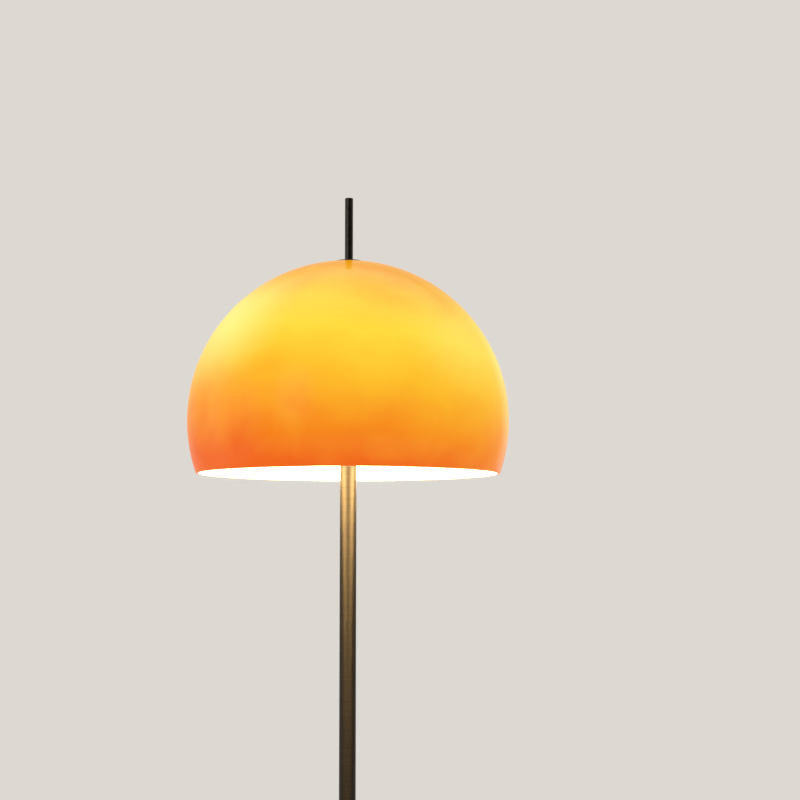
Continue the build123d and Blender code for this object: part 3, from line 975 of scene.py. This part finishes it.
def chamfered_nut(name, across_flats, bore, bottom, top, finish, steps=96):
    """A hexagon nut whose corners are turned off at 30 degrees, as stock nuts are."""
    turned_to = across_flats / 2 * 0.98
    shape = bmesh.new()
    columns = []
    for step in range(steps):
        angle = 2 * pi * step / steps
        corner = across_flats / 2 / cos((angle + pi / 6) % (pi / 3) - pi / 6)
        drop = (corner - turned_to) * tan(radians(30))
        profile = [
            (bore, bottom),
            (turned_to, bottom),
            (corner, bottom + drop),
            (corner, top - drop),
            (turned_to, top),
            (bore, top),
        ]
        spots = [(r * cos(angle) * mm, r * sin(angle) * mm, z * mm) for r, z in profile]
        columns.append([shape.verts.new(spot) for spot in spots])
    for step, column in enumerate(columns):
        beside = columns[(step + 1) % steps]
        for row in range(6):
            up = (row + 1) % 6
            shape.faces.new((column[row], beside[row], beside[up], column[up]))
    return closed_shell(name, shape, finish, sharp_from=24)


crown_nut = chamfered_nut(
    "thin_crown_nut", nut_flats, rod_bore, carrier_top, carrier_top + nut_height, zinc_plated
)
install(crown_nut, "stem", "zinc_steel", "crown_nut")

moulded_rubber, tree, shader, place = new_finish("nitrile_rubber_moulded", IOR=1.52)
bloom_size = 3 * mm
bloom = add_node(
    tree, "ShaderNodeTexNoise", {"Vector": place, "Scale": 1 / bloom_size, "Detail": 4.0}
)
lay_skin(shader, (bloom, (0.35, "#161616"), (0.75, "#2A2A29")), roughness=(bloom, 0.58, 0.82))

thick_ring = rounded(
    (gasket_bore, carrier_top, 0.3),
    (gasket_outside, carrier_top, 0.8),
    (gasket_outside, land_z, 0.8),
    (gasket_bore, land_z, 0.3),
)
lower_gasket = turned_piece("thick_gasket", thick_ring, moulded_rubber, 96)
install(lower_gasket, "stem", "black_rubber", "lower_gasket")


# ---- Shade ----
# A 390 mm ball blown in two layers of acrylic, amber outside and opal white inside, cut off
# below its middle and polished. Lit, it is yellow over the bulbs and orange at the rim. That
# glow is painted light: it is painted into the amber's emission, and a fixed share of it into
# its base colour too.

ball_z = 1330.0
ball_radius = 195.0
layer_radius = 193.2  # where amber meets opal
opal_radius = 192.0
rim_height = -65.0  # from the ball's centre
crown_hole = 3.3
crown_land = 18.0
crown_seat = 191.15
ball_rows = 110  # rings of the mesh, from rim to crown
ball_steps = 256

amber_acrylic, tree, shader, place = new_finish(
    "pmma_amber_polished",
    IOR=1.49,
    Roughness=0.15,
    Specular_IOR_Level=0.34,
    Emission_Strength=0.76,
)
parts = add_node(tree, "ShaderNodeSeparateXYZ", {"Vector": place})
cloud_size = 62 * mm  # blown acrylic varies in thickness, in clouds a few centimetres across
cloud_drift = 11 * mm  # how far a cloud moves the painted glow bands up or down
ripple_size = 34 * mm
tone_slope = 0.12  # the painted glow bands slope down to the right by this much
base_share_of_painted_glow = 0.4  # the base colour, as this share of the painted lit wall, painted glows included
clouds = add_node(
    tree,
    "ShaderNodeTexNoise",
    {"Vector": place, "Scale": 1 / cloud_size, "Detail": 3.0, "Roughness": 0.5, "Distortion": 0.4},
)
cloud_shift = add_node(
    tree,
    "ShaderNodeMapRange",
    {
        "Value": clouds.outputs["Fac"],
        "From Min": 0.3,
        "From Max": 0.7,
        "To Min": -cloud_drift,
        "To Max": cloud_drift,
    },
)
side_tilt = add_node(
    tree,
    "ShaderNodeMath",
    {0: parts.outputs["X"], 1: tone_slope, 2: parts.outputs["Z"]},
    operation="MULTIPLY_ADD",
)
# Height on the ball that places the painted glow bands, sloped and moved by the clouds.
painted_glow_height = add_node(
    tree,
    "ShaderNodeMath",
    {0: side_tilt.outputs["Value"], 1: cloud_shift.outputs["Result"]},
    operation="ADD",
)
up_the_ball = add_node(
    tree,
    "ShaderNodeMapRange",
    {
        "Value": painted_glow_height.outputs["Value"],
        "From Min": rim_height * mm,
        "From Max": ball_radius * mm,
    },
)
lit_amber = add_node(
    tree,
    "ShaderNodeValToRGB",
    {"Fac": up_the_ball.outputs["Result"]},
    [
        *[(0.0, "#EC6204"), (0.2, "#F7941E"), (0.42, "#FCC02A")],  # rim, orange
        *[(0.6, "#FDD83C"), (0.72, "#FAD03A"), (0.92, "#EDA014")],  # over the bulbs, to the crown
    ],
)
# Painted glow: where each bulb stands close behind the wall, the wall is painted paler. The
# bulbs stand about the pole at 120 degrees, all at one reach; the glow on the left is painted
# strongest, and it also stands for a painted reflection along the ball's left side. Each glow
# has its place, its spread and its strength.
bulb_glows = [
    ((-137, -87, 109), 105, 0.72),
    ((124, -120, 90), 95, 0.22),
    ((0, 163, 105), 95, 0.45),
]
lit_wall = lit_amber.outputs["Color"]
for spot, spread, amount in bulb_glows:
    away = add_node(
        tree,
        "ShaderNodeVectorMath",
        {0: place, 1: [size * mm for size in spot]},
        operation="DISTANCE",
    )
    nearness = add_node(
        tree,
        "ShaderNodeMapRange",
        {
            "Value": away.outputs["Value"],
            "From Min": 0.0,
            "From Max": spread * mm,
            "To Min": amount,
            "To Max": 0.0,
        },
        interpolation_type="SMOOTHSTEP",
    )
    glow = add_node(
        tree,
        "ShaderNodeMix",
        {"Factor": nearness.outputs["Result"], 6: lit_wall, 7: linear("#FFF58C")},
        data_type="RGBA",
    )
    lit_wall = glow.outputs[2]
# The base colour is a fixed share of the painted lit wall, painted bulb glows included.
base_from_painted_glow = add_node(
    tree,
    "ShaderNodeMix",
    {"Factor": 1.0, 6: lit_wall, 7: [base_share_of_painted_glow, base_share_of_painted_glow, base_share_of_painted_glow, 1.0]},
    data_type="RGBA",
    blend_type="MULTIPLY",
)
ripple = add_node(
    tree, "ShaderNodeTexNoise", {"Vector": place, "Scale": 1 / ripple_size, "Detail": 1.0}
)
lay_skin(shader, dents=(ripple, 0.25, 0.4))
tree.links.new(base_from_painted_glow.outputs[2], shader.inputs["Base Color"])
tree.links.new(lit_wall, shader.inputs["Emission Color"])

at_the_centre = Matrix.Translation((0, 0, ball_z * mm))
rim_out = degrees(asin(rim_height / ball_radius))
rim_layer = degrees(asin(rim_height / layer_radius))
rim_in = degrees(asin(rim_height / opal_radius))
crown_out = degrees(atan2(sqrt(ball_radius**2 - crown_hole**2), crown_hole))
crown_layer = degrees(atan2(sqrt(layer_radius**2 - crown_hole**2), crown_hole))
crown_in = degrees(atan2(sqrt(opal_radius**2 - crown_land**2), crown_land))

polish = 0.18  # degrees of the ball given up to the rim's polished edge, which has two facets
amber_outline = arc(ball_radius, rim_out + polish, crown_out, ball_rows)
amber_outline += arc(layer_radius, crown_layer, rim_layer, ball_rows)
edge_out = ball_radius * cos(radians(rim_out))
rim_edge = [(edge_out - 0.55, rim_height), (edge_out - 0.16, rim_height + 0.17)]
amber_outline += rounded(*rim_edge)
amber_layer = turned_piece(
    "amber_outer_layer", amber_outline, amber_acrylic, ball_steps, place_at=at_the_centre
)
install(amber_layer, "shade", "amber_acrylic", "shade")

# Painted glow: the bulbs' light on the opal inside, palest low down, darker towards the crown.
opal_acrylic, tree, shader, place = new_finish(
    "pmma_opal_polished", IOR=1.49, Roughness=0.2, Emission_Strength=0.32
)
parts = add_node(tree, "ShaderNodeSeparateXYZ", {"Vector": place})
inside_height = add_node(
    tree,
    "ShaderNodeMapRange",
    {"Value": parts.outputs["Z"], "From Min": rim_height * mm, "From Max": opal_radius * mm},
)
inside_stops = [(0.0, "#FBEBD6"), (0.25, "#FAF0E0"), (0.6, "#FAECD8"), (1.0, "#F0D6B0")]
lay_skin(shader, (inside_height, *inside_stops), lit=True)

opal_outline = arc(layer_radius - seam, rim_layer, crown_layer, ball_rows)
opal_outline += [Vector((crown_hole, crown_seat)), Vector((crown_land, crown_seat))]
opal_outline += arc(opal_radius, crown_in, rim_in, ball_rows)
opal_layer = turned_piece(
    "opal_inner_layer", opal_outline, opal_acrylic, ball_steps, place_at=at_the_centre
)
install(opal_layer, "shade", "amber_acrylic", "shade")


# ---- Crown washer and upper gasket ----
# A dished steel washer spreads the finial's grip over the crown, on a thin ring of rubber.
# Its black nickel plate is polished: nearly black, with sharp bright reflections.

washer_top = 1527.0
gasket_thickness = 0.5
washer_thickness = 1.5
washer_radius = 17.0
washer_edge = 0.35
flat_radius = 6.0  # the finial stands on a flat round the hole
flat_depth = 0.35
gasket_radius = 15.0

black_nickel, tree, shader, place = new_finish("steel_black_nickel_polished", Metallic=1.0)
bath_size = 7 * mm
bath = add_node(
    tree, "ShaderNodeTexNoise", {"Vector": place, "Scale": 1 / bath_size, "Detail": 3.0}
)
lay_skin(shader, (bath, (0.3, "#55504D"), (0.7, "#67625E")), roughness=(bath, 0.1, 0.2))


def crown_lens(outer, low_radius, thickness, hole, edge):
    """Outline of a dished ring that lies on the ball's crown."""
    top_radius = low_radius + thickness
    radii = [hole + (outer - hole) * step / 16 for step in range(17)]
    below = [Vector((r, ball_z + sqrt(low_radius**2 - r * r))) for r in radii]
    above = [Vector((r, ball_z + sqrt(top_radius**2 - r * r))) for r in reversed(radii)]
    above[0].x -= edge
    return below + [Vector((outer, above[0].y - edge))] + above


gasket_outline = crown_lens(gasket_radius, ball_radius, gasket_thickness, crown_hole, 0.1)
upper_gasket = turned_piece("thin_gasket", gasket_outline, moulded_rubber, 96)
install(upper_gasket, "shade", "black_rubber", "upper_gasket")

washer_outline = crown_lens(
    washer_radius, ball_radius + gasket_thickness, washer_thickness, crown_hole, washer_edge
)
for point in washer_outline:
    if point.x < flat_radius and point.y > washer_top - flat_depth:
        point.y = washer_top
cap_washer = turned_piece("dished_crown_washer", washer_outline, black_nickel, 128)
install(cap_washer, "shade", "dark_nickel", "cap_washer")


# ---- Finial rod ----
# A 10 mm steel rod, bored and tapped from below, that screws down on the tie rod and holds
# the ball. It has the washer's black nickel, with its ends broken to a bright small bevel.

finial_radius = 5.0
finial_top = 1605.0
finial_bore = 3.05
finial_depth = 24.0

finial_outline = rounded(
    (finial_bore, washer_top),
    (finial_radius, washer_top, 0.4),
    (finial_radius, washer_top + edge_support),
    (finial_radius, finial_top - edge_support),
    (finial_radius, finial_top, 0.6),
    (0, finial_top),
    (0, washer_top + finial_depth),
    (finial_bore, washer_top + finial_depth),
)
finial = turned_piece("black_nickel_finial", finial_outline, black_nickel, 96)
install(finial, "finial", "dark_nickel", "finial_rod")


# ---- Floor, surroundings and lights ----
# A plain pale floor and a pale surround, which the camera sees in its own colour. Glossy
# rays see it dim towards the front, and the rest is lit by it softly and by four panels.

floor_radius = 5.4  # metres, as every size from here on
floor_finish, tree, shader, place = new_finish("pale_studio_floor", IOR=1.45, Roughness=0.7)
trowel = add_node(tree, "ShaderNodeTexNoise", {"Vector": place, "Scale": 1.4, "Detail": 3.0})
lay_skin(shader, (trowel, (0.35, "#D8D4CD"), (0.65, "#DDD9D2")))
floor_mesh = bpy.data.meshes.new("studio_floor")
floor_shape = bmesh.new()
bmesh.ops.create_circle(floor_shape, cap_ends=True, radius=floor_radius, segments=128)
floor_shape.to_mesh(floor_mesh)
floor_shape.free()
floor_mesh.materials.append(floor_finish)
floor = bpy.data.objects.new("studio_floor", floor_mesh)
bpy.context.scene.collection.objects.link(floor)

surround = bpy.data.worlds.new("pale_surround")
surround.use_nodes = True
bpy.context.scene.world = surround
tree = surround.node_tree
tree.nodes.clear()
ray = add_node(tree, "ShaderNodeLightPath")
seen = ray.outputs["Is Camera Ray"]
for kind in ("Is Glossy Ray", "Is Transmission Ray"):
    either = add_node(tree, "ShaderNodeMath", {0: seen, 1: ray.outputs[kind]}, operation="MAXIMUM")
    seen = either.outputs["Value"]
soft_light = add_node(tree, "ShaderNodeBackground", {"Color": linear("#F2F0EC"), "Strength": 0.76})
direction = add_node(tree, "ShaderNodeTexCoord")
bearing = add_node(tree, "ShaderNodeSeparateXYZ", {"Vector": direction.outputs["Generated"]})
front_to_back = add_node(
    tree, "ShaderNodeMapRange", {"Value": bearing.outputs["Y"], "From Min": -1.0, "From Max": 1.0}
)
wall_tone = add_node(
    tree,
    "ShaderNodeValToRGB",
    {"Fac": front_to_back.outputs["Result"]},
    [(0.0, "#3A3633"), (0.3, "#544E49"), (0.6, "#8C867F"), (0.8, "#A6A098")],
)
wall_seen = add_node(
    tree,
    "ShaderNodeMix",
    {"Factor": ray.outputs["Is Glossy Ray"], 6: linear("#DDD9D2"), 7: wall_tone.outputs["Color"]},
    data_type="RGBA",
)
pale_wall = add_node(
    tree, "ShaderNodeBackground", {"Color": wall_seen.outputs[2], "Strength": 1.0}
)
which = add_node(
    tree,
    "ShaderNodeMixShader",
    {
        "Fac": seen,
        1: soft_light.outputs["Background"],
        2: pale_wall.outputs["Background"],
    },
)
add_node(tree, "ShaderNodeOutputWorld", {"Surface": which.outputs["Shader"]})


def soft_panel(name, spot, size, power, aim_height, even_part):
    """A diffusing panel, even over part of its width. It dims from there to its edges."""
    lamp = bpy.data.lights.new(name, "AREA")
    lamp.shape = "RECTANGLE"
    lamp.size, lamp.size_y = size
    lamp.energy = power
    lamp.use_nodes = True
    cloth = lamp.node_tree
    cloth.nodes.clear()
    across = add_node(cloth, "ShaderNodeNewGeometry")
    edges = add_node(cloth, "ShaderNodeSeparateXYZ", {"Vector": across.outputs["Parametric"]})
    level = None
    for axis in ("X", "Y"):
        from_middle = add_node(
            cloth, "ShaderNodeMath", {0: edges.outputs[axis], 1: 0.5}, operation="SUBTRACT"
        )
        off = add_node(
            cloth, "ShaderNodeMath", {0: from_middle.outputs["Value"]}, operation="ABSOLUTE"
        )
        fade = add_node(
            cloth,
            "ShaderNodeMapRange",
            {
                "Value": off.outputs["Value"],
                "From Min": even_part / 2,
                "From Max": 0.5,
                "To Min": 1.0,
                "To Max": 0.0,
            },
            interpolation_type="SMOOTHSTEP",
        )
        if level:
            fade = add_node(
                cloth,
                "ShaderNodeMath",
                {0: level.outputs[0], 1: fade.outputs["Result"]},
                operation="MULTIPLY",
            )
        level = fade
    glow = add_node(cloth, "ShaderNodeEmission", {"Strength": level.outputs[0]})
    add_node(cloth, "ShaderNodeOutputLight", {"Surface": glow.outputs["Emission"]})
    panel = bpy.data.objects.new(name, lamp)
    bpy.context.scene.collection.objects.link(panel)
    panel.location = spot
    panel.rotation_mode = "QUATERNION"
    aim = Vector((0, 0, aim_height)) - Vector(spot)
    panel.rotation_quaternion = aim.to_track_quat("-Z", "Y")
    panel.visible_camera = False


# Each panel's name, place, size, power in watts, height that it faces and even part.
soft_panel("left_panel", (-2.4, -0.1, 1.3), (3.6, 2.6), 11, 1.3, 0.35)
soft_panel("front_left_panel", (-1.4, -1.8, 1.9), (1.6, 2.4), 7, 1.5, 0.15)
soft_panel("back_right_panel", (1.35, 2.25, 1.5), (1.4, 2.2), 2.5, 1.3, 0.3)
soft_panel("overhead_panel", (0.0, 0.6, 4.2), (5.0, 5.0), 52, 0.8, 0.3)

# The light that leaves the ball's open rim: an even part from its white inside, and a lamp
# under each bulb that draws a streak down each side of the pole. Both pool on the floor.
# Each has its name, width, power in watts and place.
under_bulb_reach = 0.11  # from the pole's axis
under_bulb_z = 1.3
rim_lights = [("white_inside", 0.3, 3.9, (0.0, 0.0, 1.285))]
for number, turn in enumerate((90, 210, 330), 1):
    x, y = under_bulb_reach * cos(radians(turn)), under_bulb_reach * sin(radians(turn))
    rim_lights.append((f"under_bulb_{number}", 0.12, 2.3, (x, y, under_bulb_z)))
for name, across, power, spot in rim_lights:
    rim_light = bpy.data.lights.new(name, "AREA")
    rim_light.shape = "DISK"
    rim_light.size = across
    rim_light.energy = power
    rim_light.color = linear("#FFDA94")[:3]
    downlight = bpy.data.objects.new(name, rim_light)
    bpy.context.scene.collection.objects.link(downlight)
    downlight.location = spot
    downlight.visible_camera = False


# ---- Camera ----
# The photograph's view: two metres away and just under the rim, so that the lit inside of
# the far wall shows as a thin bright slit.

distance = 2.0  # metres in front of the pole
lens_height = 1.166
tilt_up = 5.41  # degrees
turn_right = 1.80

lens = bpy.data.cameras.new("photograph_view")
lens.lens = 74.1
lens.sensor_width = 36.0
camera = bpy.data.objects.new("photograph_view", lens)
bpy.context.scene.collection.objects.link(camera)
camera.location = (0.0, -distance, lens_height)
camera.rotation_euler = (radians(90 + tilt_up), 0.0, radians(-turn_right))
bpy.context.scene.camera = camera
bpy.context.scene.view_settings.view_transform = "Standard"
